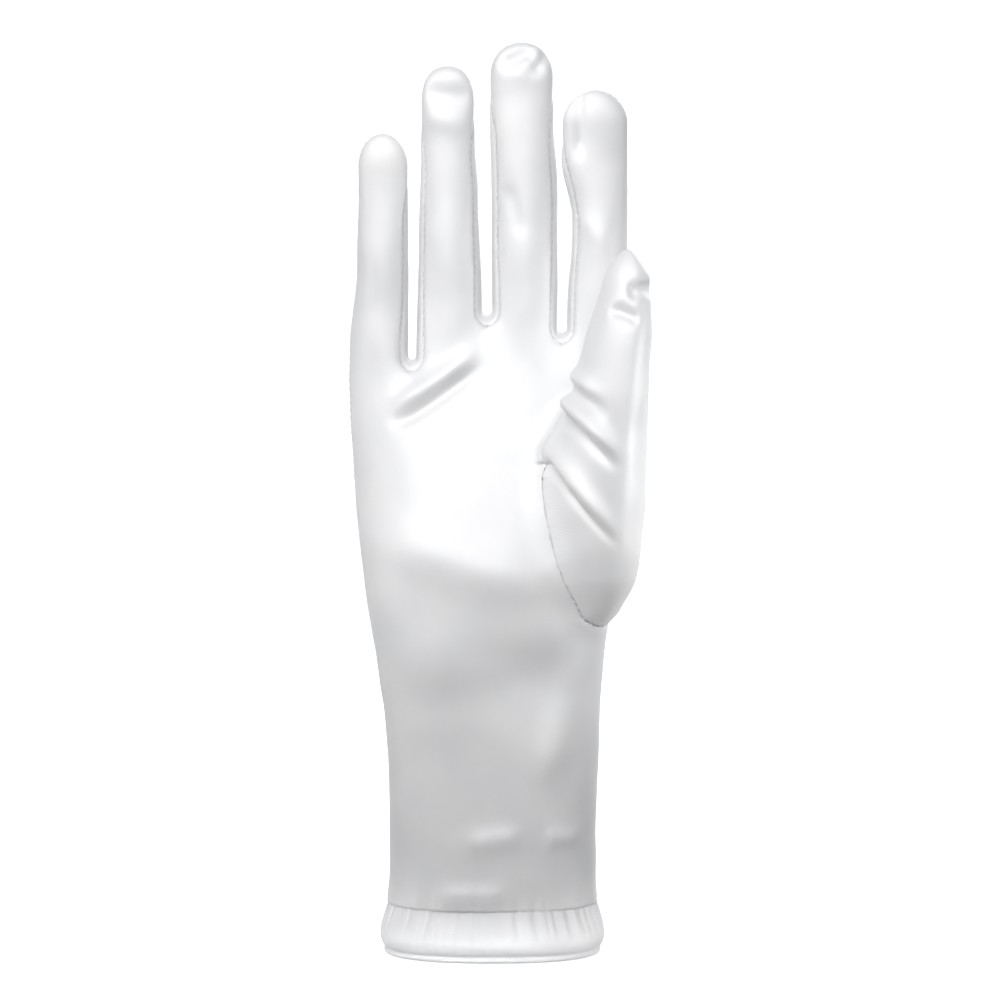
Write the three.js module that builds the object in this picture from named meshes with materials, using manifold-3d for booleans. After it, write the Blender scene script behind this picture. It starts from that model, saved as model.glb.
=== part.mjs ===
// A wrist length dress glove for a right hand, in thin stretch satin, in the shape it has when worn.
// The cuff opening is at the origin, the fingers point up +Z, the palm faces -Y and the thumb is at +X.
// Palm panel, back panel, three fourchettes, thumb and hem are separate cut pieces that meet at seams.
import * as THREE from "three";
import { mergeVertices } from "three/addons/utils/BufferGeometryUtils.js";
import Module from "manifold-3d";

// Driving dimensions, in millimetres.
const wall = 1; // cloth thickness
const seamGap = 0.3; // between the edges of two pieces that are sewn together
const hemHeight = 13.5; // of the turned hem at the cuff
const hemBulge = 2.3; // how far the gathered hem stands out from the cuff
const hemThickness = 1.3; // of the hem inside the cuff's outer line
const hemPuckers = 28; // gathers of the elastic round the hem
const puckerDepth = 0.35;
const cuffWidth = 56.4;
const cuffDepth = 37;
const palmLength = 170; // hem edge to the fork between ring and middle finger
const palmDepth = 20.4; // palm to back at the finger roots
const palmShift = -1.9; // of the knuckles' middle from the cuff's middle, towards the little finger
const heelHeight = 6.5; // how far the heel of the hand fills the palm out
const fingerLength = 75; // of the middle finger, from its fork
const fingerWidth = 16.5;
const fingerDepth = 16.4;
const fingerCurl = 5; // how far a fingertip leans towards the palm
const forkGap = 2.2; // daylight between two fingers
const forkDrop = 2.8; // from the top of a fork to the seam below it
const tipHeight = 9; // of the rounded end of a finger
const thumbLength = 101; // lower end of the thumb seam to the thumb's tip
const thumbWidth = 27;
const thumbDepth = 31;
const thumbRise = 88; // of the thumb seam's lower end above the hem edge

// Fineness of the surfaces.
const fingerColumns = 5;
const handRows = 13;
const blendRows = 5;
const forkRows = 3;
const shaftRows = 8;
const tipRows = 4;
const fourchetteColumns = 3;
const thumbSides = 28;
const thumbRows = 34;
const thumbInnerRows = 11;
const thumbPassageRows = 17;
const hemColumnsPerPucker = 3;

// One row for each finger. Widths at root, waist and tip are shares of fingerWidth, and so are the shifts of the
// waist and the tip from the root; rise is the tip's height above palmLength, as a share of fingerLength.
// Depths are shares of fingerDepth. The tip's outline is round where tipRound is 1, and squarer below that.
const FINGERS = [
  { root: 0.982, waist: 0.85, tip: 0.82, waistShift: 0.08, tipShift: 0.1, rise: 0.679, tipDepth: 0.66, tipRound: 0.85 },
  { root: 1.09, waist: 0.982, tip: 0.87, waistShift: -0.01, tipShift: -0.02, rise: 0.916, tipDepth: 0.64, tipRound: 0.6 },
  { root: 1.088, waist: 1.085, tip: 1.035, waistShift: 0, tipShift: -0.05, rise: 1, tipDepth: 0.7, tipRound: 0.75 },
  { root: 0.982, waist: 0.9, tip: 1.08, waistShift: 0.06, tipShift: -0.03, rise: 0.833, tipDepth: 0.58, tipRound: 0.95 },
];
// Heights of the forks from little to index finger, as shares of palmLength.
const FORK_HEIGHTS = [0.944, 1.016, 0.988];

// Sections of the hand from cuff to finger roots: z is a share of palmLength, left and right run from 0 at the
// cuff's edge to 1 at the knuckles' edge, fade runs from the cuff's depth to the palm's, and heel is a share of
// heelHeight.
const HAND = [
  { z: 0.0, left: 0.1, right: 0.0, fade: 0.0, heel: 0 },
  { z: 0.08, left: 0.05, right: -0.05, fade: 0.0, heel: 0 },
  { z: 0.16, left: 0.015, right: -0.04, fade: 0.06, heel: 0 },
  { z: 0.24, left: 0.015, right: -0.03, fade: 0.1, heel: 0 },
  { z: 0.32, left: 0.065, right: 0.02, fade: 0.15, heel: -0.03 },
  { z: 0.4, left: 0.16, right: 0.1, fade: 0.27, heel: 0.05 },
  { z: 0.48, left: 0.35, right: 0.25, fade: 0.4, heel: 0.46 },
  { z: 0.56, left: 0.58, right: 0.42, fade: 0.48, heel: 1.0 },
  { z: 0.64, left: 0.72, right: 0.68, fade: 0.56, heel: 1.05 },
  { z: 0.72, left: 0.865, right: 0.865, fade: 0.66, heel: 0.86 },
  { z: 0.8, left: 0.935, right: 0.97, fade: 0.72, heel: 0.42 },
  { z: 0.88, left: 1.0, right: 1.0, fade: 0.86, heel: 0.18 },
  { z: 0.96, left: 1.0, right: 1.0, fade: 1.0, heel: 0 },
  { z: 1.04, left: 1.0, right: 1.0, fade: 1.0, heel: 0 },
];

// Sections of the thumb: z is a share of thumbLength, left and right are shares of thumbWidth from the knuckles'
// right edge, front and back are shares of thumbDepth in front of the hand's middle.
const THUMB = [
  { z: 0.0, left: -0.46, right: -0.3, front: 0.25, back: 0.12 },
  { z: 0.05, left: -0.6, right: -0.08, front: 0.62, back: 0.05 },
  { z: 0.14, left: -0.78, right: 0.09, front: 0.85, back: 0.03 },
  { z: 0.28, left: -0.86, right: 0.15, front: 0.96, back: 0.02 },
  { z: 0.4, left: -0.84, right: 0.17, front: 1.01, back: 0.03 },
  { z: 0.5, left: -0.72, right: 0.18, front: 1.03, back: 0.08 },
  { z: 0.6, left: -0.6, right: 0.19, front: 1.05, back: 0.24 },
  { z: 0.7, left: -0.5, right: 0.2, front: 1.05, back: 0.42 },
  { z: 0.79, left: -0.42, right: 0.21, front: 1.04, back: 0.5 },
  { z: 0.87, left: -0.32, right: 0.2, front: 1.02, back: 0.55 },
  { z: 0.93, left: -0.25, right: 0.19, front: 0.99, back: 0.6 },
  { z: 0.97, left: -0.19, right: 0.13, front: 0.94, back: 0.66 },
  { z: 1.0, left: -0.07, right: 0.02, front: 0.86, back: 0.76 },
];

// Folds of the cloth, each a straight ridge seen from the front. Ends are shares: across of the half width of
// the piece that they lie on and up of its length; width and height are shares of fingerWidth.
const PALM_FOLDS = [
  { across: -0.66, up: 0.865, toAcross: -0.1, toUp: 0.945, width: 0.18, height: 0.11 },
  { across: -0.66, up: 0.845, toAcross: -0.12, toUp: 0.925, width: 0.16, height: -0.12 },
];
const THUMB_FOLDS = [
  { across: -0.9, up: 0.73, toAcross: 0.1, toUp: 0.63, width: 0.16, height: 0.09 },
  { across: -0.95, up: 0.56, toAcross: 0.35, toUp: 0.43, width: 0.15, height: 0.12 },
  { across: -0.95, up: 0.42, toAcross: 0.35, toUp: 0.26, width: 0.15, height: 0.11 },
  { across: 0.1, up: 0.84, toAcross: 0.95, toUp: 0.82, width: 0.14, height: -0.035 },
];

const palmSide = -1;
const backSide = 1;
const handRoundness = 2.5; // exponent of the hand's and cuff's sections, 2 being an ellipse
const thumbRoundness = 2.15;
const waistAt = 0.5; // stations along a finger, as shares of its length
const tipAt = 0.85;
const rootDepthShare = 1.23; // of a finger at its root, as a share of fingerDepth
const waistDepthShare = 0.98; // the same at its waist
const seamDegrees = 54; // angle from the front of a finger to its fourchette's edge
const rootSeamDegrees = 42; // the same at the root, where a fourchette is widest
const fourchetteFlare = 0.35; // up to here a fourchette widens towards its fork
const fourchetteTaper = 0.7; // from here to the finger's end its fourchette narrows to a point
const blendFrom = 0.79; // share of palmLength above which the hand turns into four fingers
const pointShare = 0.3; // share of the last row that a fourchette's point stays short of the finger's end
const bluntShare = 0.2; // width of the last row of a fingertip, as a share of the finger's
const foldEndShare = 0.3; // share of a fold's length over which it rises from nothing
const foldReachShare = 2; // widths from a fold's line to where it has died out
const sameEdge = 1e-6; // two places closer than this are the same

const lerp = THREE.MathUtils.lerp;
const smooth = (t) => THREE.MathUtils.smoothstep(t, 0, 1);
const rightAngle = Math.PI / 2;
const point = (x, y, z) => new THREE.Vector3(x, y, z);

// A column of a table of sections at a height, through its rows in one smooth line.
function track(table, column, at) {
  const last = table.length - 1;
  let i = table.findIndex((row) => row.z > at) - 1;
  if (i < 0) i = at < table[0].z ? 0 : last - 1;
  const value = (n) => table[THREE.MathUtils.clamp(n, 0, last)][column];
  const t = THREE.MathUtils.clamp((at - table[i].z) / (table[i + 1].z - table[i].z), 0, 1);
  const slopeIn = (value(i + 1) - value(i - 1)) / 2;
  const slopeOut = (value(i + 2) - value(i)) / 2;
  const bend = 2 * (value(i) - value(i + 1)) + slopeIn + slopeOut;
  return value(i) + t * (slopeIn + t * (value(i + 1) - value(i) - slopeIn - bend + t * bend));
}

// A point of a superellipse with unit half axes, for an angle from its right end.
function superellipse(angle, roundness) {
  const c = Math.cos(angle);
  const s = Math.sin(angle);
  const power = 2 / roundness;
  return [Math.sign(c) * Math.abs(c) ** power, Math.sign(s) * Math.abs(s) ** power];
}

// How far the folds of a table raise the cloth at a place given in the table's shares.
function foldHeight(table, across, up, halfWidth, length) {
  let raised = 0;
  for (const fold of table) {
    const from = new THREE.Vector2(fold.across * halfWidth, fold.up * length);
    const along = new THREE.Vector2(fold.toAcross * halfWidth, fold.toUp * length).sub(from);
    const place = new THREE.Vector2(across * halfWidth, up * length).sub(from);
    const t = place.dot(along) / along.lengthSq();
    const off = Math.abs(place.cross(along)) / along.length() / (fold.width * fingerWidth);
    const ends = smooth(t / foldEndShare) * smooth((1 - t) / foldEndShare);
    raised += fold.height * fingerWidth * smooth(1 - off / foldReachShare) * ends;
  }
  return raised;
}

// The fingers side by side: each root's middle follows from the widths and gaps before it.
const palmWidth = FINGERS.reduce((sum, f) => sum + f.root * fingerWidth, 0) + forkGap * (FINGERS.length - 1);
const palmLeft = palmShift - palmWidth / 2;
const palmRight = palmShift + palmWidth / 2;
let nextEdge = palmLeft;
const fingers = FINGERS.map((row, index) => {
  const middle = nextEdge + (row.root * fingerWidth) / 2;
  nextEdge += row.root * fingerWidth + forkGap;
  return { ...row, index, middle, top: palmLength + row.rise * fingerLength - tipHeight };
});
const forks = FORK_HEIGHTS.map((share, index) => ({
  index,
  middle: fingers[index].middle + (fingers[index].root * fingerWidth + forkGap) / 2,
  centre: share * palmLength + forkGap / 2,
}));
const lastFinger = fingers.length - 1;

// Centre, half width and half depth of a finger's section, from 0 at its root to 1 where the tip starts to round.
function fingerSection(finger, share) {
  const toWaist = smooth(share / waistAt);
  const toTip = smooth((share - waistAt) / (tipAt - waistAt));
  const station = (root, waist, tip) => lerp(lerp(root, waist, toWaist), tip, toTip);
  const shift = station(0, finger.waistShift, finger.tipShift);
  return {
    x: finger.middle + shift * fingerWidth,
    y: -fingerCurl * share * share,
    halfWidth: (station(finger.root, finger.waist, finger.tip) * fingerWidth) / 2,
    halfDepth: (station(rootDepthShare, waistDepthShare, finger.tipDepth) * fingerDepth) / 2,
  };
}

// A point on a finger for an angle from its front, where the right side is positive.
function onFinger(finger, share, angle, z) {
  const s = fingerSection(finger, share);
  return point(s.x + s.halfWidth * Math.sin(angle), s.y - s.halfDepth * Math.cos(angle), z);
}

// Angle from the front of a finger to its fourchette's edge.
function edgeAngle(share) {
  const [root, shaft] = [rootSeamDegrees, seamDegrees].map(THREE.MathUtils.degToRad);
  const angle = lerp(root, shaft, smooth(share / fourchetteFlare));
  return lerp(angle, rightAngle, smooth((share - fourchetteTaper) / (1 - fourchetteTaper)));
}

// The height of a finger's side: each side starts at its own fork, and both end at the tip.
function sideHeight(finger, right, share) {
  const beside = THREE.MathUtils.clamp(right ? finger.index : finger.index - 1, 0, forks.length - 1);
  return lerp(forks[beside].centre, finger.top, share);
}

// A point of a fork. Across runs from 0 at the palm seam to 1 at the back seam, and turn from 0 on the finger at its
// left, through a right angle at the bottom, to two right angles on the finger at its right.
function onFork(fork, across, turn) {
  const angle = lerp(edgeAngle(0), 2 * rightAngle - edgeAngle(0), across);
  const left = onFinger(fingers[fork.index], 0, angle, fork.centre);
  const right = onFinger(fingers[fork.index + 1], 0, -angle, fork.centre);
  const off = 2 * across - 1;
  const place = left.clone().lerp(right, (1 - Math.cos(turn)) / 2);
  place.z -= (forkGap / 2 + forkDrop * off * off) * Math.sin(turn);
  return place;
}

// One row of a finger on the palm or the back: from its left edge over the crown to its right edge.
function crownRow(side, left, right, middleY, halfDepth, angles) {
  const crown = (angle) => middleY + side * halfDepth * Math.cos(angle);
  const row = [];
  for (let i = 0; i <= fingerColumns; i++) {
    const angle = lerp(angles[0], angles[1], i / fingerColumns);
    const across = (Math.sin(angle) - Math.sin(angles[0])) / (Math.sin(angles[1]) - Math.sin(angles[0]));
    const place = left.clone().lerp(right, across);
    place.y = crown(angle) + lerp(left.y - crown(angles[0]), right.y - crown(angles[1]), across);
    row.push(place);
  }
  return row;
}

// Rows of one finger on one side of the glove, from the bottom of its forks to its tip.
function fingerRows(finger, side) {
  const across = side === palmSide ? 0 : 1;
  const first = finger.index === 0;
  const last = finger.index === lastFinger;
  const edge = (share, outer) => (outer ? rightAngle : edgeAngle(share));
  const rows = [];
  for (let i = 0; i < forkRows; i++) {
    const turn = rightAngle * (1 - i / forkRows);
    const base = fingerSection(finger, 0);
    let left = first ? null : onFork(forks[finger.index - 1], across, 2 * rightAngle - turn);
    let right = last ? null : onFork(forks[finger.index], across, turn);
    left ??= point(base.x - base.halfWidth, base.y, right.z);
    right ??= point(base.x + base.halfWidth, base.y, left.z);
    const halfDepth = lerp(base.halfDepth, palmDepth / 2, Math.sin(turn));
    rows.push(crownRow(side, left, right, base.y, halfDepth, [-edge(0, first), edge(0, last)]));
  }
  for (let i = 0; i <= shaftRows; i++) {
    const share = i / shaftRows;
    const s = fingerSection(finger, share);
    const leftEdge = edge(share, first);
    const rightEdge = edge(share, last);
    const fromFront = (angle) => (side === palmSide ? angle : 2 * rightAngle - angle);
    const left = onFinger(finger, share, -fromFront(leftEdge), sideHeight(finger, false, share));
    const right = onFinger(finger, share, fromFront(rightEdge), sideHeight(finger, true, share));
    rows.push(crownRow(side, left, right, s.y, s.halfDepth, [-leftEdge, rightEdge]));
  }
  const end = fingerSection(finger, 1);
  for (let i = 1; i <= tipRows; i++) {
    const lift = (rightAngle * i) / tipRows;
    const halfWidth = end.halfWidth * Math.max(Math.cos(lift) ** finger.tipRound, bluntShare);
    const z = finger.top + tipHeight * Math.sin(lift);
    const halfDepth = i < tipRows ? end.halfDepth * Math.cos(lift) : 0;
    const left = point(end.x - halfWidth, end.y, z);
    const right = point(end.x + halfWidth, end.y, z);
    rows.push(crownRow(side, left, right, end.y, halfDepth, [-rightAngle, rightAngle]));
  }
  return rows;
}

// Left and right edge of the hand, and its depth on one side, at a height.
function handSection(side, z) {
  const at = z / palmLength;
  const depth = lerp(cuffDepth, palmDepth, track(HAND, "fade", at)) / 2;
  return {
    left: lerp(-cuffWidth / 2, palmLeft, track(HAND, "left", at)),
    right: lerp(cuffWidth / 2, palmRight, track(HAND, "right", at)),
    depth: side === palmSide ? depth + heelHeight * track(HAND, "heel", at) : depth,
  };
}

function onHand(side, angle, z) {
  const { left, right, depth } = handSection(side, z);
  const [across, out] = superellipse(angle, handRoundness);
  return point((left + right) / 2 + ((right - left) / 2) * across, side * depth * out, z);
}

// Angle of each column of the hand, so that the columns at the forks run straight up into them.
const columnAngles = (() => {
  const forkAngle = ({ middle }) => {
    const share = (middle - palmShift) / (palmWidth / 2);
    return Math.acos(Math.sign(share) * Math.abs(share) ** (handRoundness / 2));
  };
  const stops = [Math.PI, ...forks.map(forkAngle), 0];
  const angles = [Math.PI];
  for (let k = 0; k <= lastFinger; k++) {
    for (let i = 1; i <= fingerColumns; i++) angles.push(lerp(stops[k], stops[k + 1], i / fingerColumns));
  }
  return angles;
})();

// Rows of the hand on one side of the glove, from the hem to the bottom of the forks.
function handGrid(side) {
  const forkLine = [];
  for (const finger of fingers) {
    const row = fingerRows(finger, side)[0];
    forkLine.push(...(finger.index ? row.slice(1) : row));
  }
  const blendHeight = blendFrom * palmLength;
  const rows = [];
  for (let i = 0; i <= handRows; i++) {
    const z = lerp(hemHeight, blendHeight, i / handRows);
    rows.push(columnAngles.map((angle) => onHand(side, angle, z)));
  }
  for (let i = 1; i <= blendRows; i++) {
    const share = i / blendRows;
    rows.push(
      forkLine.map((end, column) => {
        const z = lerp(blendHeight, end.z, share);
        const place = onHand(side, columnAngles[column], z);
        return place.lerp(end, smooth(share)).setZ(z);
      }),
    );
  }
  return rows;
}

// Raises the folds of the palm on its rows.
function foldPalm(rows) {
  for (const place of new Set(rows.flat())) {
    const across = (place.x - palmShift) / (palmWidth / 2);
    place.y -= foldHeight(PALM_FOLDS, across, place.z / palmLength, palmWidth / 2, palmLength);
  }
}

// Rows of a fourchette, down the side of one finger, through the fork and up the side of the next.
function fourchetteRows(fork) {
  const rows = [];
  const strip = (place) => {
    const row = [];
    for (let i = 0; i <= fourchetteColumns; i++) row.push(place(i / fourchetteColumns));
    rows.push(row);
  };
  const shares = Array.from({ length: shaftRows }, (_, i) => (i + 1) / shaftRows);
  shares[shaftRows - 1] -= pointShare / shaftRows;
  const beside = (finger, right, share) =>
    strip((across) => {
      const edge = edgeAngle(share);
      const angle = lerp(edge, 2 * rightAngle - edge, across);
      return onFinger(finger, share, right ? angle : -angle, sideHeight(finger, right, share));
    });
  for (const share of [...shares].reverse()) beside(fingers[fork.index], true, share);
  for (let i = 0; i <= 2 * forkRows; i++) {
    const turn = (rightAngle * i) / forkRows;
    strip((across) => onFork(fork, across, turn));
  }
  for (const share of shares) beside(fingers[fork.index + 1], false, share);
  return rows;
}

// A piece of cloth is made of grids of points. Seams name the edges of a grid that are sewn to another piece.
const cloth = {
  palm_panel: [
    { rows: handGrid(palmSide), seams: ["left", "right", "bottom"], flip: false },
    ...fingers.map((f) => ({ rows: fingerRows(f, palmSide), seams: ["left", "right", "top"], flip: false })),
  ],
  back_panel: [
    { rows: handGrid(backSide), seams: ["left", "right", "bottom"], flip: true },
    ...fingers.map((f) => ({ rows: fingerRows(f, backSide), seams: ["left", "right", "top"], flip: true })),
  ],
};
cloth.palm_panel.forEach((grid) => foldPalm(grid.rows));
const FOURCHETTES = ["fourchette_little_ring", "fourchette_ring_middle", "fourchette_middle_index"];
FOURCHETTES.forEach((name, i) => {
  cloth[name] = [{ rows: fourchetteRows(forks[i]), seams: ["left", "right", "top", "bottom"], flip: true }];
});

const keyOf = (p) => p.toArray().map((size) => Math.round(size * 1000)).join();

// Outward normal at every point of all grids; points that grids share get one common normal, so seams are mitred.
function sharedNormals(grids) {
  const normals = new Map();
  const addFace = (corners, flip) => {
    const normal = corners[2].clone().sub(corners[0]).cross(corners[3].clone().sub(corners[1]));
    normal.normalize().multiplyScalar(flip ? -1 : 1);
    for (const p of corners) {
      if (!normals.has(keyOf(p))) normals.set(keyOf(p), point(0, 0, 0));
      normals.get(keyOf(p)).add(normal);
    }
  };
  for (const { rows, flip } of grids) {
    for (let r = 0; r + 1 < rows.length; r++) {
      for (let c = 0; c + 1 < rows[r].length; c++) {
        addFace([rows[r][c], rows[r][c + 1], rows[r + 1][c + 1], rows[r + 1][c]], flip);
      }
    }
  }
  for (const normal of normals.values()) normal.normalize();
  return normals;
}

// The outer and inner side of a grid, with its sewn edges drawn back by half the gap. Where the grid goes on into
// another of the same piece, only the glove's own side edges are drawn back, so the two grids still meet.
function bothSides({ rows, seams, flip }, normals) {
  const last = rows.length - 1;
  const side = rows[0].length - 1;
  const drawBack = (from, to) => {
    const step = to.clone().sub(from);
    return step.setLength(Math.min(seamGap / 2, step.length() / 3));
  };
  const outer = rows.map((row, r) =>
    row.map((p, c) => {
      const moved = p.clone();
      const goesOn = (r === 0 && !seams.includes("bottom")) || (r === last && !seams.includes("top"));
      const atGloveSide = Math.abs(Math.abs(p.x - palmShift) - palmWidth / 2) < sameEdge;
      const atSeam = (c === 0 && seams.includes("left")) || (c === side && seams.includes("right"));
      if (atSeam && (atGloveSide || !goesOn)) moved.add(drawBack(p, row[c === 0 ? 1 : side - 1]));
      if (r === 0 && seams.includes("bottom")) moved.add(drawBack(p, rows[1][c]));
      if (r === last && seams.includes("top")) moved.add(drawBack(p, rows[last - 1][c]));
      return moved;
    }),
  );
  const inner = outer.map((row, r) =>
    row.map((p, c) => p.clone().addScaledVector(normals.get(keyOf(rows[r][c])), -wall)),
  );
  return flip ? [inner, outer] : [outer, inner];
}

// Triangles as a three.js geometry with merged vertices and no empty faces.
function geometryOf(triangles) {
  const geometry = new THREE.BufferGeometry().setFromPoints(triangles.flat());
  const merged = mergeVertices(geometry, 1e-3);
  const index = merged.index.array;
  const kept = [];
  for (let i = 0; i < index.length; i += 3) {
    const [a, b, c] = index.slice(i, i + 3);
    if (a !== b && b !== c && c !== a) kept.push(a, b, c);
  }
  return merged.setIndex(kept);
}

const quad = (a, b, c, d) => [
  [a, b, c],
  [a, c, d],
];

// A piece of cloth with its wall: both sides of its grids, and a rim along every sewn edge.
function clothGeometry(grids, normals) {
  const triangles = [];
  for (const grid of grids) {
    const [front, back] = bothSides(grid, normals);
    const last = front.length - 1;
    const side = front[0].length - 1;
    for (let r = 0; r < last; r++) {
      for (let c = 0; c < side; c++) {
        const at = (s, i, j) => s[r + i][c + j];
        triangles.push(...quad(at(front, 0, 0), at(front, 0, 1), at(front, 1, 1), at(front, 1, 0)));
        triangles.push(...quad(at(back, 0, 0), at(back, 1, 0), at(back, 1, 1), at(back, 0, 1)));
      }
    }
    const rim = (p, q) => triangles.push(...quad(p[0], p[1], q[1], q[0]));
    const pair = (r, c) => [front[r][c], back[r][c]];
    for (let r = 0; r < last; r++) {
      if (grid.seams.includes("left")) rim(pair(r + 1, 0), pair(r, 0));
      if (grid.seams.includes("right")) rim(pair(r, side), pair(r + 1, side));
    }
    for (let c = 0; c < side; c++) {
      if (grid.seams.includes("bottom")) rim(pair(0, c), pair(0, c + 1));
      if (grid.seams.includes("top")) rim(pair(last, c + 1), pair(last, c));
    }
  }
  return geometryOf(triangles);
}

// A closed solid through rings of points, with a fan at each end.
function loft(rings) {
  const triangles = [];
  const sides = rings[0].length;
  const centre = (ring) => ring.reduce((sum, p) => sum.add(p), point(0, 0, 0)).divideScalar(sides);
  const bottom = centre(rings[0]);
  const top = centre(rings.at(-1));
  for (let i = 0; i < sides; i++) {
    const j = (i + 1) % sides;
    for (let r = 0; r + 1 < rings.length; r++) {
      triangles.push(...quad(rings[r][i], rings[r][j], rings[r + 1][j], rings[r + 1][i]));
    }
    triangles.push([bottom, rings[0][j], rings[0][i]], [top, rings.at(-1)[i], rings.at(-1)[j]]);
  }
  return geometryOf(triangles);
}

// The whole thumb as a closed body, grown outwards by a distance at its sides and both ends, with its folds if asked.
function thumbBody(grown, folded, rowCount) {
  const rings = [];
  for (let i = 0; i <= rowCount; i++) {
    const share = lerp(THUMB[0].z, 1, i / rowCount);
    const edge = (column) => track(THUMB, column, share);
    const left = palmRight + edge("left") * thumbWidth - grown;
    const right = palmRight + edge("right") * thumbWidth + grown;
    const front = -edge("front") * thumbDepth - grown;
    const back = -edge("back") * thumbDepth + grown;
    const z = thumbRise + share * thumbLength + grown * (2 * smooth(share) - 1);
    const ring = [];
    for (let j = 0; j < thumbSides; j++) {
      const [across, out] = superellipse((2 * Math.PI * j) / thumbSides, thumbRoundness);
      const place = point(lerp(left, right, (1 + across) / 2), lerp(front, back, (1 + out) / 2), z);
      const facing = Math.max(0, -out);
      const halfWidth = thumbWidth / 2;
      if (folded) place.y -= facing * foldHeight(THUMB_FOLDS, across, share, halfWidth, thumbLength);
      ring.push(place);
    }
    rings.push(ring);
  }
  return loft(rings);
}

// The hand as a filled body up to its forks, grown outwards by a distance.
function handBody(normals, grown) {
  const [palm, back] = [cloth.palm_panel[0].rows, cloth.back_panel[0].rows];
  const out = (p) => p.clone().addScaledVector(normals.get(keyOf(p)), grown);
  const triangles = [];
  const last = palm.length - 1;
  const side = palm[0].length - 1;
  for (let c = 0; c < side; c++) {
    for (let r = 0; r < last; r++) {
      triangles.push(...quad(out(palm[r][c]), out(palm[r][c + 1]), out(palm[r + 1][c + 1]), out(palm[r + 1][c])));
      triangles.push(...quad(out(back[r][c]), out(back[r + 1][c]), out(back[r + 1][c + 1]), out(back[r][c + 1])));
    }
    triangles.push(...quad(out(palm[0][c]), out(back[0][c]), out(back[0][c + 1]), out(palm[0][c + 1])));
    triangles.push(...quad(out(palm[last][c]), out(palm[last][c + 1]), out(back[last][c + 1]), out(back[last][c])));
  }
  return geometryOf(triangles);
}

// Profile of the hem, from its top seam down over the bulge to the rolled edge and up inside: out is a share of
// hemBulge, or of hemThickness where it is negative, up a share of hemHeight, pucker a share of puckerDepth.
const HEM = [
  { out: 0.0, up: 1.0, pucker: 1.0 },
  { out: 0.42, up: 0.84, pucker: 0.8 },
  { out: 0.85, up: 0.6, pucker: 0.45 },
  { out: 1.0, up: 0.38, pucker: 0.2 },
  { out: 0.8, up: 0.2, pucker: 0.1 },
  { out: 0.35, up: 0.12, pucker: 0 },
  { out: 0.5, up: 0.05, pucker: 0 },
  { out: 0.15, up: 0.0, pucker: 0 },
  { out: -1.0, up: 0.0, pucker: 0 },
  { out: -1.0, up: 1.0, pucker: 0 },
];

// The hem follows the cuff's section all round.
function hemGeometry() {
  const columns = hemPuckers * hemColumnsPerPucker;
  const top = hemHeight - seamGap / 2;
  const loops = HEM.map(({ out, up, pucker }) => {
    const loop = [];
    for (let i = 0; i < columns; i++) {
      const turn = (2 * Math.PI * i) / columns;
      const side = turn < Math.PI ? backSide : palmSide;
      const seat = onHand(side, turn < Math.PI ? turn : 2 * Math.PI - turn, hemHeight);
      const grow = out > 0 ? out * hemBulge : out * hemThickness;
      const ripple = (pucker * puckerDepth * (Math.cos(turn * hemPuckers) - 1)) / 2;
      const reach = Math.hypot(seat.x, seat.y);
      loop.push(seat.multiplyScalar((reach + grow + ripple) / reach).setZ(up * top));
    }
    return loop;
  });
  const triangles = [];
  for (let r = 0; r < loops.length; r++) {
    const [above, below] = [loops[r], loops[(r + 1) % loops.length]];
    for (let i = 0; i < columns; i++) {
      const j = (i + 1) % columns;
      triangles.push(...quad(below[i], below[j], above[j], above[i]));
    }
  }
  return geometryOf(triangles);
}

const wasm = await Module();
wasm.setup();

// A closed geometry as a solid for cutting, and back.
function solidOf(geometry) {
  const vertProperties = new Float32Array(geometry.getAttribute("position").array);
  const triVerts = new Uint32Array(geometry.index.array);
  return new wasm.Manifold(new wasm.Mesh({ numProp: 3, vertProperties, triVerts }));
}
function geometryFrom(solid) {
  const mesh = solid.getMesh();
  const geometry = new THREE.BufferGeometry();
  geometry.setAttribute("position", new THREE.BufferAttribute(mesh.vertProperties, 3));
  return geometry.setIndex(new THREE.BufferAttribute(mesh.triVerts, 1));
}

const normals = sharedNormals(Object.values(cloth).flat());
const thumbOuter = solidOf(thumbBody(0, true, thumbRows));
const thumbInner = solidOf(thumbBody(-wall, false, thumbInnerRows));
const thumbPassage = solidOf(thumbBody(seamGap, false, thumbPassageRows));
const geometries = {};
for (const [name, grids] of Object.entries(cloth)) geometries[name] = clothGeometry(grids, normals);
geometries.palm_panel = geometryFrom(solidOf(geometries.palm_panel).subtract(thumbPassage));
geometries.thumb = geometryFrom(thumbOuter.subtract(thumbInner).subtract(solidOf(handBody(normals, seamGap))));
geometries.cuff_hem = hemGeometry();

const glove = new THREE.Group();
for (const [name, geometry] of Object.entries(geometries)) {
  geometry.computeVertexNormals();
  const satin = new THREE.MeshStandardMaterial({ color: 0xf3f3f5, roughness: 0.38, metalness: 0 });
  const mesh = new THREE.Mesh(geometry, satin);
  mesh.name = name;
  glove.add(mesh);
}

export default glove;
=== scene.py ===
# Looks of the wrist length dress glove: stretched satin with its folds, sewn seams, stitches and gathered
# hem.
# Lengths are in millimetres in the glove's own frame, and become metres when a mesh is made.
import math

import bpy
import numpy as np
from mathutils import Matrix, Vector, kdtree


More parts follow.
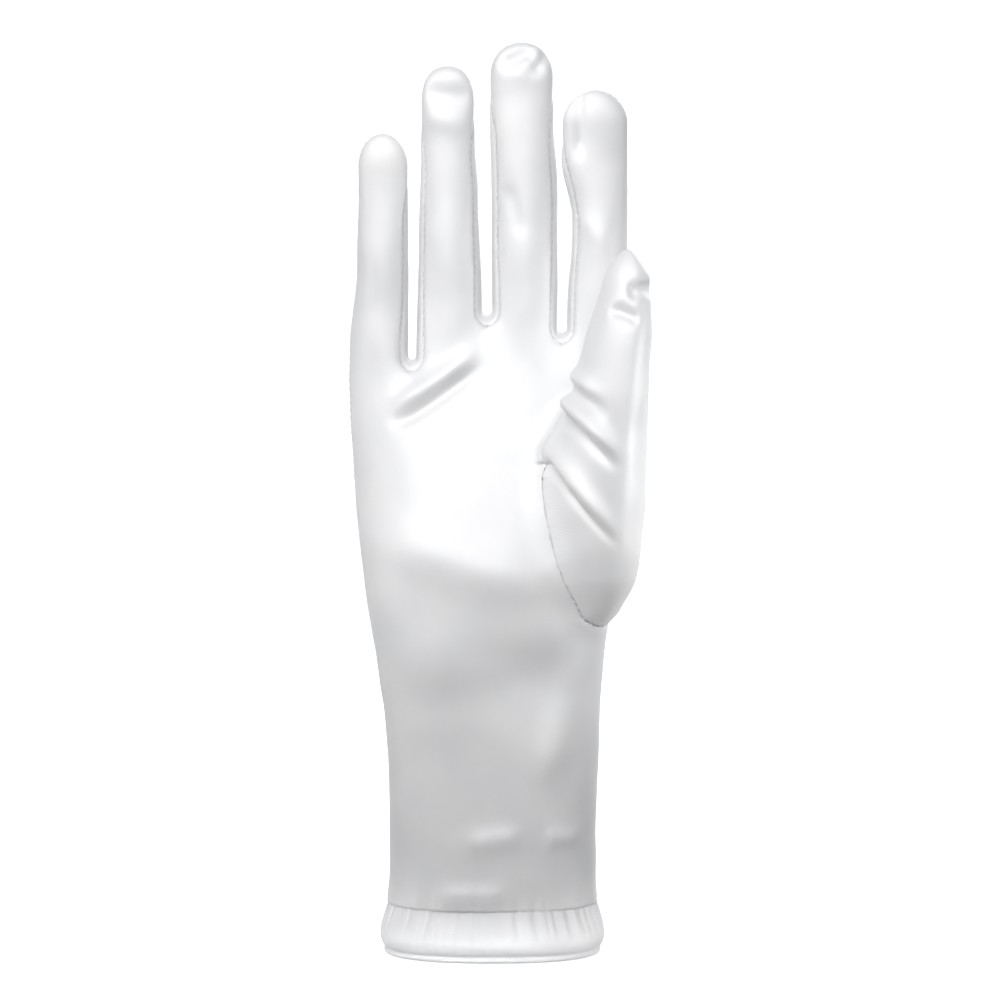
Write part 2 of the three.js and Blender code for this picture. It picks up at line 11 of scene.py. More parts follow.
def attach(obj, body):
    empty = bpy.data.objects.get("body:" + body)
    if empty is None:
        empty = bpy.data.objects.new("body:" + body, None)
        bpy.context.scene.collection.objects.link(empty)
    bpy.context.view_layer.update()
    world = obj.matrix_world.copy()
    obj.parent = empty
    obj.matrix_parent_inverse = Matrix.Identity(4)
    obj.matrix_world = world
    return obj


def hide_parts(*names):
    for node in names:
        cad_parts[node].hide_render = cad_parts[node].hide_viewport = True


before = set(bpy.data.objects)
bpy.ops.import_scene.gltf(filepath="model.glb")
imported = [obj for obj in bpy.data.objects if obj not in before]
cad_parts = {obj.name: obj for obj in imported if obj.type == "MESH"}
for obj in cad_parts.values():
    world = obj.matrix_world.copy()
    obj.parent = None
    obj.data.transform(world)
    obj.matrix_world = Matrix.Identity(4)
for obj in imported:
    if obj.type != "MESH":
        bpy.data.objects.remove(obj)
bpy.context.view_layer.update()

MM = 0.001

# Driving sizes. They are those of the solids, but the cloth is thinner, the seams of the fingers lie nearer
# the gaps between them, and a finger's depth falls evenly from root to tip.
WALL = 0.8
HEM_HEIGHT = 13.5
HEM_BULGE = 2.3
HEM_THICKNESS = 1.3
CUFF_WIDTH = 56.4
CUFF_DEPTH = 37.0
PALM_LENGTH = 170.0
PALM_DEPTH = 20.4
PALM_SHIFT = -1.9
HEEL_HEIGHT = 6.5
FINGER_LENGTH = 75.0
FINGER_WIDTH = 16.5
FINGER_DEPTH = 16.4
FINGER_CURL = 5.0
FORK_GAP = 2.2
FORK_DROP = 2.8
TIP_HEIGHT = 9.0
SEAM_ANGLE = math.radians(60)
ROOT_SEAM_ANGLE = math.radians(54)
THUMB_LENGTH = 101.0
THUMB_WIDTH = 27.0
THUMB_DEPTH = 31.0
THUMB_RISE = 88.0

HAND_ROUNDNESS = 2.5
THUMB_ROUNDNESS = 2.15
THUMB_LEAN = 0.3
WAIST_AT = 0.5
TIP_AT = 0.85
ROOT_DEPTH = 1.23
FOURCHETTE_FLARE = 0.35
FOURCHETTE_TAPER = 0.7
BLEND_FROM = 0.79
BLUNTNESS = 0.2
PALM_SIDE = -1
BACK_SIDE = 1
RIGHT_ANGLE = math.pi / 2

# Fineness of the surfaces.
FINGER_COLUMNS = 24
HAND_ROWS = 150
BLEND_ROWS = 44
FORK_ROWS = 10
SHAFT_ROWS = 100
TIP_ROWS = 20
FOURCHETTE_COLUMNS = 16
THUMB_SIDES = 132
THUMB_ROWS = 190
THUMB_CAP_ROWS = 6
EDGE_CROWDING = 0.6

# Widths and shifts are shares of FINGER_WIDTH, depths of FINGER_DEPTH, rise of FINGER_LENGTH.
FINGERS = [
    {"name": "little", "root": 0.982, "waist": 0.85, "tip": 0.82, "waist_shift": 0.08, "tip_shift": 0.1,
     "rise": 0.679, "tip_depth": 0.66, "tip_round": 0.85},
    {"name": "ring", "root": 1.09, "waist": 0.982, "tip": 0.87, "waist_shift": -0.01, "tip_shift": -0.02,
     "rise": 0.916, "tip_depth": 0.64, "tip_round": 0.6},
    {"name": "middle", "root": 1.088, "waist": 1.085, "tip": 1.035, "waist_shift": 0.0, "tip_shift": -0.05,
     "rise": 1.0, "tip_depth": 0.7, "tip_round": 0.75},
    {"name": "index", "root": 0.982, "waist": 0.9, "tip": 1.08, "waist_shift": 0.06, "tip_shift": -0.03,
     "rise": 0.833, "tip_depth": 0.58, "tip_round": 0.95},
]
FORK_HEIGHTS = [0.944, 1.016, 0.988]
HAND_COLUMNS = ("z", "left", "right", "fade", "heel")
HAND = [dict(zip(HAND_COLUMNS, row)) for row in (
    (0.0, 0.1, 0.0, 0.0, 0.0),
    (0.08, 0.05, -0.05, 0.0, 0.0),
    (0.16, 0.015, -0.04, 0.06, 0.0),
    (0.24, 0.015, -0.03, 0.1, 0.0),
    (0.32, 0.065, 0.02, 0.15, -0.03),
    (0.4, 0.16, 0.1, 0.27, 0.05),
    (0.48, 0.35, 0.25, 0.4, 0.46),
    (0.56, 0.58, 0.42, 0.48, 1.0),
    (0.64, 0.72, 0.68, 0.56, 1.05),
    (0.72, 0.865, 0.865, 0.66, 0.86),
    (0.8, 0.935, 0.97, 0.72, 0.42),
    (0.88, 1.0, 1.0, 0.86, 0.18),
    (0.96, 1.0, 1.0, 1.0, 0.0),
    (1.04, 1.0, 1.0, 1.0, 0.0),
)]
THUMB_COLUMNS = ("z", "left", "right", "front", "back")
THUMB = [dict(zip(THUMB_COLUMNS, row)) for row in (
    (0.0, -0.4, -0.26, 0.25, 0.12),
    (0.05, -0.53, -0.08, 0.62, 0.05),
    (0.14, -0.71, 0.09, 0.85, 0.03),
    (0.28, -0.79, 0.15, 0.96, 0.02),
    (0.4, -0.79, 0.17, 1.01, 0.03),
    (0.5, -0.7, 0.18, 1.03, 0.08),
    (0.6, -0.6, 0.19, 1.05, 0.24),
    (0.7, -0.5, 0.2, 1.05, 0.42),
    (0.79, -0.42, 0.21, 1.025, 0.5),
    (0.87, -0.32, 0.2, 0.985, 0.55),
    (0.93, -0.25, 0.19, 0.94, 0.6),
    (0.97, -0.19, 0.13, 0.89, 0.66),
    (1.0, -0.07, 0.02, 0.81, 0.74),
)]

# Folds as seen from the front: from one end to the other in x and z, with the bow of the line between them,
# the half width of the ridge and its height. A negative height is a crease.
FOLD_COLUMNS = ("x", "z", "to_x", "to_z", "bow", "width", "height")
PALM_FOLDS = [dict(zip(FOLD_COLUMNS, row)) for row in (
    (-29.0, 146.4, -3.0, 163.7, -1.0, 3.0, 1.5),
    (-29.0, 141.8, -3.0, 160.1, -1.0, 2.1, -1.7),
    (23.0, 88.0, 12.0, 44.0, 1.0, 4.5, 2.0),
    (-9.0, 31.0, 9.0, 33.5, 0.3, 3.2, 1.0),
    (12.5, 33.0, 24.0, 32.5, 0.2, 2.8, 0.9),
    (-18.0, 17.0, 6.0, 17.5, 0.2, 3.0, 0.9),
    (-40.0, 117.0, 30.0, 97.0, -2.0, 7.5, 2.0),
)]
THUMB_FOLDS = [dict(zip(FOLD_COLUMNS, row)) for row in (
    (9.0, 167.1, 28.5, 148.6, 0.5, 2.2, 1.6),
    (11.0, 160.2, 30.0, 145.0, 0.4, 1.8, -1.5),
    (9.0, 159.0, 33.0, 133.6, 0.9, 2.4, 2.4),
    (9.0, 153.1, 33.0, 131.0, 0.9, 1.5, -2.0),
    (9.0, 148.6, 33.0, 113.4, -1.4, 2.3, 2.0),
    (9.0, 142.6, 33.0, 111.0, -1.4, 1.2, -1.7),
    (29.5, 174.0, 38.5, 170.0, 0.5, 1.8, -1.1),
    (34.0, 177.4, 42.0, 179.6, 0.5, 2.1, -1.6),
)]
FINGER_FOLDS = [dict(zip(FOLD_COLUMNS, row)) for row in (
    (1.0, 237.5, 12.0, 242.5, 0.6, 2.4, -1.1),
    (10.0, 235.0, 15.0, 243.0, 0.2, 1.7, -0.9),
    (3.0, 208.0, 7.4, 192.0, 0.4, 2.0, -0.5),
    (23.0, 234.0, 22.6, 212.0, 0.0, 1.2, -1.1),
    (-20.0, 232.5, -4.5, 230.0, -0.5, 3.2, -0.9),
    (-20.0, 226.0, -4.5, 222.5, -0.5, 3.2, 0.6),
    (20.0, 200.0, 31.0, 190.0, 0.5, 2.6, 0.4),
)]
# Swells of the cloth over the hand, as seen from the front: the place, the half width and half height, and
# how far the middle stands out. A negative height is a hollow.
SWELL_COLUMNS = ("x", "z", "wide", "tall", "height")
SWELLS = [dict(zip(SWELL_COLUMNS, row)) for row in (
    (-13.0, 81.0, 12.0, 10.5, 3.4),
    (-13.0, 66.0, 14.0, 11.0, 1.7),
    (16.0, 87.0, 13.0, 7.0, 1.3),
    (12.0, 75.0, 16.0, 8.0, -1.2),
    (10.0, 108.0, 14.0, 10.0, 0.8),
    (-14.0, 172.0, 5.0, 8.0, -0.3),
)]
# Evening of the cloth: the heights between which it works, the lengths over which it sets in and dies out,
# the distance from a seam at which it is in full, and its rounds.
KNUCKLES_FROM = 112.0
KNUCKLES_SET_IN = 22.0
KNUCKLES_TO = 192.0
KNUCKLES_DIE_OUT = 38.0
KNUCKLES_SEAM = 3.5
KNUCKLES_ROUNDS = 260
TIP_ZONE = 32.0
TIP_SET_IN = 30.0
TIP_SEAM = 3.0
TIP_ROUNDS = 60
TIP_HALF_WIDTH = 0.6
THUMB_TIP_FROM = 181.0
THUMB_TIP_SET_IN = 5.0
THUMB_TIP_ROUNDS = 60
NORMAL_ROUNDS = 5
# Seams: the ditch that a seam draws into the cloth, shallow at the hem and at the thumb seam's upper end,
# and the soft run of palm and thumb into each other.
DITCH_DEPTH = 0.6
DITCH_WIDTH = 0.75
DITCH_AT_HEM = 0.1
DITCH_HEM_EASE = 4.0
THUMB_DITCH_LOW = 0.9
THUMB_DITCH_HIGH = 0.15
THUMB_DITCH_TOP = 104.0
THUMB_DITCH_EASE = 10.0
THUMB_FILLET = 2.6
THUMB_FILLET_REACH = 8.0
THUMB_SEARCH = 3.0
HEM_PUCKERS = ((36, 1.0), (62, 0.5))
PUCKER_DEPTH = 0.75
GATHER_REACH = 8.5
HEM_FLARE = 0.45
STITCH_PITCH = 2.0
STITCH_LENGTH = 1.25
STITCH_RADIUS = 0.19
STITCH_LIFT = 0.12
THUMB_STITCH_SINK = 0.25
THUMB_SINK_FROM = 98.0
THUMB_SINK_EASE = 8.0


def lerp(a, b, t):
    return a + (b - a) * t


def smooth(t):
    t = np.clip(t, 0, 1)
    return t * t * (3 - 2 * t)


def track(table, column, at):
    """A column of a table of sections at a height, through its rows in one smooth line."""
    z = np.array([row["z"] for row in table])
    value = np.array([row[column] for row in table])
    i = np.clip(np.searchsorted(z, at, side="right") - 1, 0, len(z) - 2)
    t = np.clip((at - z[i]) / (z[i + 1] - z[i]), 0, 1)
    slope_in = (value[i + 1] - value[np.maximum(i - 1, 0)]) / 2
    slope_out = (value[np.minimum(i + 2, len(z) - 1)] - value[i]) / 2
    bend = 2 * (value[i] - value[i + 1]) + slope_in + slope_out
    return value[i] + t * (slope_in + t * (value[i + 1] - value[i] - slope_in - bend + t * bend))


def superellipse(angle, roundness):
    c, s = np.cos(angle), np.sin(angle)
    return np.sign(c) * np.abs(c) ** (2 / roundness), np.sign(s) * np.abs(s) ** (2 / roundness)


def crowded(count):
    """Shares from 0 to 1 that lie closer together at both ends."""
    u = np.linspace(0, 1, count + 1)
    return u - EDGE_CROWDING * np.sin(2 * np.pi * u) / (2 * np.pi)


def stack(x, y, z):
    return np.stack(np.broadcast_arrays(x, y, z), axis=-1).astype(float)


# The fingers side by side, and the forks between them.
PALM_WIDTH = sum(f["root"] for f in FINGERS) * FINGER_WIDTH + FORK_GAP * (len(FINGERS) - 1)
PALM_LEFT = PALM_SHIFT - PALM_WIDTH / 2
PALM_RIGHT = PALM_SHIFT + PALM_WIDTH / 2
LAST = len(FINGERS) - 1
edge = PALM_LEFT
for index, finger in enumerate(FINGERS):
    finger["index"] = index
    finger["middle"] = edge + finger["root"] * FINGER_WIDTH / 2
    finger["top"] = PALM_LENGTH + finger["rise"] * FINGER_LENGTH - TIP_HEIGHT
    edge += finger["root"] * FINGER_WIDTH + FORK_GAP
FORKS = [
    {"index": i, "centre": share * PALM_LENGTH + FORK_GAP / 2,
     "middle": FINGERS[i]["middle"] + (FINGERS[i]["root"] * FINGER_WIDTH + FORK_GAP) / 2}
    for i, share in enumerate(FORK_HEIGHTS)
]


def finger_section(finger, share):
    to_waist = smooth(share / WAIST_AT)
    to_tip = smooth((share - WAIST_AT) / (TIP_AT - WAIST_AT))

    def station(root, waist, tip):
        return lerp(lerp(root, waist, to_waist), tip, to_tip)

    x = finger["middle"] + station(0, finger["waist_shift"], finger["tip_shift"]) * FINGER_WIDTH
    half_width = station(finger["root"], finger["waist"], finger["tip"]) * FINGER_WIDTH / 2
    half_depth = lerp(ROOT_DEPTH, finger["tip_depth"], share) * FINGER_DEPTH / 2
    return x, -FINGER_CURL * share * share, half_width, half_depth


def on_finger(finger, share, angle, z):
    x, y, half_width, half_depth = finger_section(finger, share)
    return stack(x + half_width * np.sin(angle), y - half_depth * np.cos(angle), z)


def edge_angle(share):
    angle = lerp(ROOT_SEAM_ANGLE, SEAM_ANGLE, smooth(share / FOURCHETTE_FLARE))
    return lerp(angle, RIGHT_ANGLE, smooth((share - FOURCHETTE_TAPER) / (1 - FOURCHETTE_TAPER)))


def side_height(finger, right, share):
    beside = min(max(finger["index"] - (0 if right else 1), 0), len(FORKS) - 1)
    return lerp(FORKS[beside]["centre"], finger["top"], share)


def on_fork(fork, across, turn):
    angle = lerp(edge_angle(0), math.pi - edge_angle(0), across)
    left = on_finger(FINGERS[fork["index"]], 0, angle, fork["centre"])
    right = on_finger(FINGERS[fork["index"] + 1], 0, -angle, fork["centre"])
    off = 2 * across - 1
    place = lerp(left, right, (1 - math.cos(turn)) / 2)
    place[..., 2] -= (FORK_GAP / 2 + FORK_DROP * off * off) * math.sin(turn)
    return place


def crown_row(side, left, right, middle_y, half_depth, start, end, even=0.0):
    angle = lerp(start, end, crowded(FINGER_COLUMNS))
    across = (np.sin(angle) - math.sin(start)) / (math.sin(end) - math.sin(start))
    across = lerp(across, np.linspace(0, 1, FINGER_COLUMNS + 1), even)
    row = lerp(left[None, :], right[None, :], across[:, None])
    crown = middle_y + side * half_depth * np.cos(angle)
    row[:, 1] = crown + lerp(left[1] - crown[0], right[1] - crown[-1], across)
    return row


def finger_rows(finger, side):
    across = 0 if side == PALM_SIDE else 1
    first, last = finger["index"] == 0, finger["index"] == LAST
    rows = []
    base_x, base_y, base_width, base_depth = finger_section(finger, 0)
    for i in range(FORK_ROWS):
        turn = RIGHT_ANGLE * (1 - i / FORK_ROWS)
        left = None if first else on_fork(FORKS[finger["index"] - 1], across, math.pi - turn)
        right = None if last else on_fork(FORKS[finger["index"]], across, turn)
        if first:
            left = np.array([base_x - base_width, base_y, right[2]])
        if last:
            right = np.array([base_x + base_width, base_y, left[2]])
        half_depth = lerp(base_depth, PALM_DEPTH / 2, math.sin(turn))
        start = -(RIGHT_ANGLE if first else edge_angle(0))
        end = RIGHT_ANGLE if last else edge_angle(0)
        rows.append(crown_row(side, left, right, base_y, half_depth, start, end))
    for i in range(SHAFT_ROWS + 1):
        share = i / SHAFT_ROWS
        _, y, _, half_depth = finger_section(finger, share)
        left_edge = RIGHT_ANGLE if first else float(edge_angle(share))
        right_edge = RIGHT_ANGLE if last else float(edge_angle(share))
        turned = (lambda a: a) if side == PALM_SIDE else (lambda a: math.pi - a)
        left = on_finger(finger, share, -turned(left_edge), side_height(finger, False, share))
        right = on_finger(finger, share, turned(right_edge), side_height(finger, True, share))
        rows.append(crown_row(side, left, right, y, half_depth, -left_edge, right_edge))
    x, y, half_width, half_depth = finger_section(finger, 1)
    base = (side_height(finger, False, 0) + side_height(finger, True, 0)) / 2
    slope = -2 * FINGER_CURL / (finger["top"] - base)
    for i in range(1, TIP_ROWS + 1):
        lift = RIGHT_ANGLE * i / TIP_ROWS
        reach = half_width * max(max(math.cos(lift), 0) ** finger["tip_round"], BLUNTNESS)
        rise = TIP_HEIGHT * math.sin(lift)
        z = finger["top"] + rise
        tilted = y + slope * rise * (1 - rise / (2 * TIP_HEIGHT))
        depth = half_depth * math.cos(lift) if i < TIP_ROWS else 0
        left, right = np.array([x - reach, tilted, z]), np.array([x + reach, tilted, z])
        even = (i / TIP_ROWS) ** 2
        rows.append(crown_row(side, left, right, tilted, depth, -RIGHT_ANGLE, RIGHT_ANGLE, even))
    return np.array(rows)


def on_hand(side, angle, z):
    at = z / PALM_LENGTH
    depth = lerp(CUFF_DEPTH, PALM_DEPTH, track(HAND, "fade", at)) / 2
    if side == PALM_SIDE:
        depth = depth + HEEL_HEIGHT * track(HAND, "heel", at)
    left = lerp(-CUFF_WIDTH / 2, PALM_LEFT, track(HAND, "left", at))
    right = lerp(CUFF_WIDTH / 2, PALM_RIGHT, track(HAND, "right", at))
    across, out = superellipse(angle, HAND_ROUNDNESS)
    return stack((left + right) / 2 + (right - left) / 2 * across, side * depth * out, z)


def column_angles():
    stops = [math.pi]
    for fork in FORKS:
        share = (fork["middle"] - PALM_SHIFT) / (PALM_WIDTH / 2)
        stops.append(math.acos(math.copysign(abs(share) ** (HAND_ROUNDNESS / 2), share)))
    stops.append(0.0)
    angles = [np.array([math.pi])]
    for k in range(LAST + 1):
        angles.append(lerp(stops[k], stops[k + 1], crowded(FINGER_COLUMNS))[1:])
    return np.concatenate(angles)


def hand_rows(side):
    fork_line = np.concatenate([finger_rows(f, side)[0][(1 if f["index"] else 0):] for f in FINGERS])
    angles = column_angles()
    blend_height = BLEND_FROM * PALM_LENGTH
    rows = [on_hand(side, angles, z) for z in np.linspace(HEM_HEIGHT, blend_height, HAND_ROWS + 1)]
    for i in range(1, BLEND_ROWS + 1):
        share = i / BLEND_ROWS
        z = lerp(blend_height, fork_line[:, 2], share)
        row = lerp(on_hand(side, angles, z), fork_line, smooth(share))
        row[:, 2] = z
        rows.append(row)
    return np.array(rows)


def fourchette_rows(fork):
    pointed = 1 - 0.15 / SHAFT_ROWS
    shares = [i / SHAFT_ROWS for i in range(1, SHAFT_ROWS)] + [pointed]
    across = crowded(FOURCHETTE_COLUMNS)

    def beside(finger, right, share):
        first = edge_angle(share)
        angle = lerp(first, math.pi - first, across)
        return on_finger(finger, share, angle if right else -angle, side_height(finger, right, share))

    rows = [beside(FINGERS[fork["index"]], True, share) for share in reversed(shares)]
    for i in range(2 * FORK_ROWS + 1):
        rows.append(on_fork(fork, across, RIGHT_ANGLE * i / FORK_ROWS))
    rows += [beside(FINGERS[fork["index"] + 1], False, share) for share in shares]
    return np.array(rows)


def thumb_rows():
    turn = 2 * np.pi * np.arange(THUMB_SIDES + 1) / THUMB_SIDES
    across, out = superellipse(turn, THUMB_ROUNDNESS)
    rows = []
    for share in np.linspace(THUMB[0]["z"], 1, THUMB_ROWS + 1):
        left, right = (PALM_RIGHT + track(THUMB, side, share) * THUMB_WIDTH for side in ("left", "right"))
        front, back = (-track(THUMB, side, share) * THUMB_DEPTH for side in ("front", "back"))
        z = THUMB_RISE + share * THUMB_LENGTH
        lean = THUMB_LEAN * np.clip(-out, 0, 1) * (1 - np.clip(across, 0, 1))
        rows.append(stack(lerp(left, right, (1 + across + lean) / 2), lerp(front, back, (1 + out) / 2), z))
    rim = rows[-1]
    centre = rim[:-1].mean(axis=0)
    for i in range(1, THUMB_CAP_ROWS + 1):
        lift = RIGHT_ANGLE * i / THUMB_CAP_ROWS
        ring = centre + (rim - centre) * math.cos(lift)
        ring[:, 2] = centre[2] + 0.7 * math.sin(lift)
        rows.append(ring)
    rows = np.array(rows)
    rows[-1] = rows[-1].mean(axis=0)
    rows[:, -1] = rows[:, 0]
    return rows


# Meshes are arrays of points, with faces as rows of point numbers and a piece number for each face.
def weld(grids):
    """Joins grids into one mesh. Returns its points, faces, each face's piece and each grid's numbers."""
    points = np.concatenate([rows.reshape(-1, 3) for _, rows, _ in grids])
    keys = np.floor(points * 1000 + 0.137).astype(np.int64)
    _, first, number = np.unique(keys, axis=0, return_index=True, return_inverse=True)
    number = number.reshape(-1)
    faces, owner, numbers = [], [], []
    start = 0
    for piece, rows, flip in grids:
        grid = number[start:start + rows.shape[0] * rows.shape[1]].reshape(rows.shape[:2])
        start += grid.size
        quads = np.stack([grid[:-1, :-1], grid[:-1, 1:], grid[1:, 1:], grid[1:, :-1]], axis=-1)
        quads = quads.reshape(-1, 4)
        faces.append(quads[:, ::-1] if flip else quads)
        owner.append(np.full(len(quads), piece))
        numbers.append(grid)
    return points[first], np.concatenate(faces), np.concatenate(owner), numbers


def normals_of(points, faces):
    a, b, c, d = (points[faces[:, k]] for k in range(4))
    face = np.cross(c - a, d - b)
    normals = np.zeros_like(points)
    for k in range(4):
        np.add.at(normals, faces[:, k], face)
    length = np.linalg.norm(normals, axis=1, keepdims=True)
    return normals / np.maximum(length, 1e-12)


def smoothed(points, faces, weight, rounds):
    """Evens the surface out where the weight isn't zero: draws each point to its neighbours' middle."""
    ring = np.concatenate([faces[:, [k, (k + 1) % 4]] for k in range(4)])
    ring = np.concatenate([ring, ring[:, ::-1]])
    count = np.maximum(np.bincount(ring[:, 0], minlength=len(points)), 1)
    step = (weight * 0.5)[:, None]
    for _ in range(rounds):
        total = [
            np.bincount(ring[:, 0], weights=points[ring[:, 1], k], minlength=len(points))
            for k in range(3)
        ]
        points = points + step * (np.stack(total, axis=-1) / count[:, None] - points)
    return points


def soft_normals(points, faces):
    """Normals evened out with their neighbours', so that a tiny face turns none of them."""
    normals = smoothed(normals_of(points, faces), faces, np.ones(len(points)), NORMAL_ROUNDS)
    return normals / np.maximum(np.linalg.norm(normals, axis=1, keepdims=True), 1e-12)


def triangles(faces):
    cut = np.concatenate([faces[:, [0, 1, 2]], faces[:, [0, 2, 3]]])
    a, b, c = cut.T
    return cut[(a != b) & (b != c) & (c != a)]


def nearest(points, targets):
    """Number of the nearest target and the distance to it, for each point."""
    tree = kdtree.KDTree(len(targets))
    for i, target in enumerate(targets):
        tree.insert(target, i)
    tree.balance()
    found = [tree.find(p)[1:] for p in points]
    return np.array([f[0] for f in found]), np.array([f[1] for f in found])


def swell_height(points, normals):
    """How far the swells raise each point, on what faces the front."""
    raised = np.zeros(len(points))
    for swell in SWELLS:
        off_x = (points[:, 0] - swell["x"]) / swell["wide"]
        off_z = (points[:, 2] - swell["z"]) / swell["tall"]
        raised += swell["height"] * np.exp(-(off_x ** 2 + off_z ** 2))
    return raised * smooth(-normals[:, 1] / 0.4)


def fold_height(folds, points, normals):
    """How far the folds raise each point, on what faces the front."""
    raised = np.zeros(len(points))
    facing = smooth((-normals[:, 1] + 0.5) / 0.8)
    place = points[:, [0, 2]]
    for fold in folds:
        start, end = np.array([fold["x"], fold["z"]]), np.array([fold["to_x"], fold["to_z"]])
        along = end - start
        length = np.hypot(*along)
        direction = along / length
        side = np.array([-direction[1], direction[0]])
        t = (place - start) @ direction / length
        off = (place - start) @ side - fold["bow"] * 4 * np.clip(t, 0, 1) * (1 - np.clip(t, 0, 1))
        ends = smooth(t / 0.3) * smooth((1 - t) / 0.3)
        raised += fold["height"] * np.exp(-(off / fold["width"]) ** 2) * ends
    return raised * facing


def ripples(points, size, height, seed):
    """Soft uneven waves of about a size in every direction."""
    rng = np.random.default_rng(seed)
    total = np.zeros(len(points))
    count = 14
    for _ in range(count):
        direction = rng.normal(size=3)
        direction /= np.linalg.norm(direction)
        wave = 2 * np.pi / (size * rng.uniform(0.7, 1.6))
        total += np.sin(points @ direction * wave + rng.uniform(0, 2 * np.pi))
    return height * total / math.sqrt(count)


def gathers(turn):
    """How far the elastic draws the cloth in, at places round the hem."""
    rng = np.random.default_rng(12)
    drawn = np.zeros(len(turn))
    for count, strength in HEM_PUCKERS:
        pitch = 2 * np.pi / count
        spots = (np.arange(count) + rng.uniform(-0.35, 0.35, count)) * pitch
        depth = strength * rng.uniform(0.35, 1.0, count)
        width = rng.uniform(0.16, 0.34, count) * pitch
        for spot, deep, wide in zip(spots, depth, width):
            away = (turn - spot + np.pi) % (2 * np.pi) - np.pi
            drawn += deep * np.exp(-(away / wide) ** 2)
    return drawn


def edge_samples(points, pairs, parts=5):
    """Points spread along edges."""
    t = (np.arange(parts) / parts)[:, None, None]
    return (points[pairs[:, 0]] * (1 - t) + points[pairs[:, 1]] * t).reshape(-1, 3)


def boundary_of(faces):
    """Edges that only one face uses, in the direction in which it uses them."""
    count = faces.shape[1]
    pairs = np.concatenate([faces[:, [k, (k + 1) % count]] for k in range(count)])
    low, high = pairs.min(axis=1).astype(np.int64), pairs.max(axis=1).astype(np.int64)
    key = low * (high.max() + 1) + high
    _, start, number = np.unique(key, return_index=True, return_counts=True)
    return pairs[start[number == 1]]


def clipped(points, faces, keep):
    """Cuts a triangle mesh along the line where keep is zero, and leaves the part where it is positive."""
    inside = keep > 0
    count = inside[faces].sum(axis=1)
    kept = [tuple(f) for f in faces[count == 3]]
    points = list(points)
    cuts = {}

    def cut(a, b):
        key = (min(a, b), max(a, b))
        if key not in cuts:
            t = keep[a] / (keep[a] - keep[b])
            cuts[key] = len(points)
            points.append(points[a] + (points[b] - points[a]) * t)
        return cuts[key]

    for face in faces[(count == 1) | (count == 2)]:
        ring = []
        for k in range(3):
            a, b = int(face[k]), int(face[(k + 1) % 3])
            if inside[a]:
                ring.append(a)
            if inside[a] != inside[b]:
                ring.append(cut(a, b))
        kept += [(ring[0], ring[k], ring[k + 1]) for k in range(1, len(ring) - 1)]
    return compact(np.array(points), np.array(kept))


def compact(points, faces):
    """Drops the points that no face uses."""
    used, numbers = np.unique(faces, return_inverse=True)
    return points[used], numbers.reshape(faces.shape)


def signed_distance(points, surface, normals):
    which, _ = nearest(points, surface)
    return ((points - surface[which]) * normals[which]).sum(axis=1)


def make_object(name, points, faces, material):
    mesh = bpy.data.meshes.new(name)
    mesh.from_pydata((points * MM).tolist(), [], faces if isinstance(faces, list) else faces.tolist())
    mesh.polygons.foreach_set("use_smooth", [True] * len(mesh.polygons))
    mesh.materials.append(material)
    mesh.update()
    thing = bpy.data.objects.new(name, mesh)
    bpy.context.scene.collection.objects.link(thing)
    return thing


def thickened(points, faces, normals):
    """A sheet with its wall: outside, inside and a rim along its edges."""
    count = len(points)
    rim = boundary_of(faces)
    inner = points - normals * WALL
    walls = np.stack([rim[:, 1], rim[:, 0], rim[:, 0] + count, rim[:, 1] + count], axis=-1)
    every = faces.tolist() + (faces[:, ::-1] + count).tolist() + walls.tolist()
    return np.concatenate([points, inner]), every


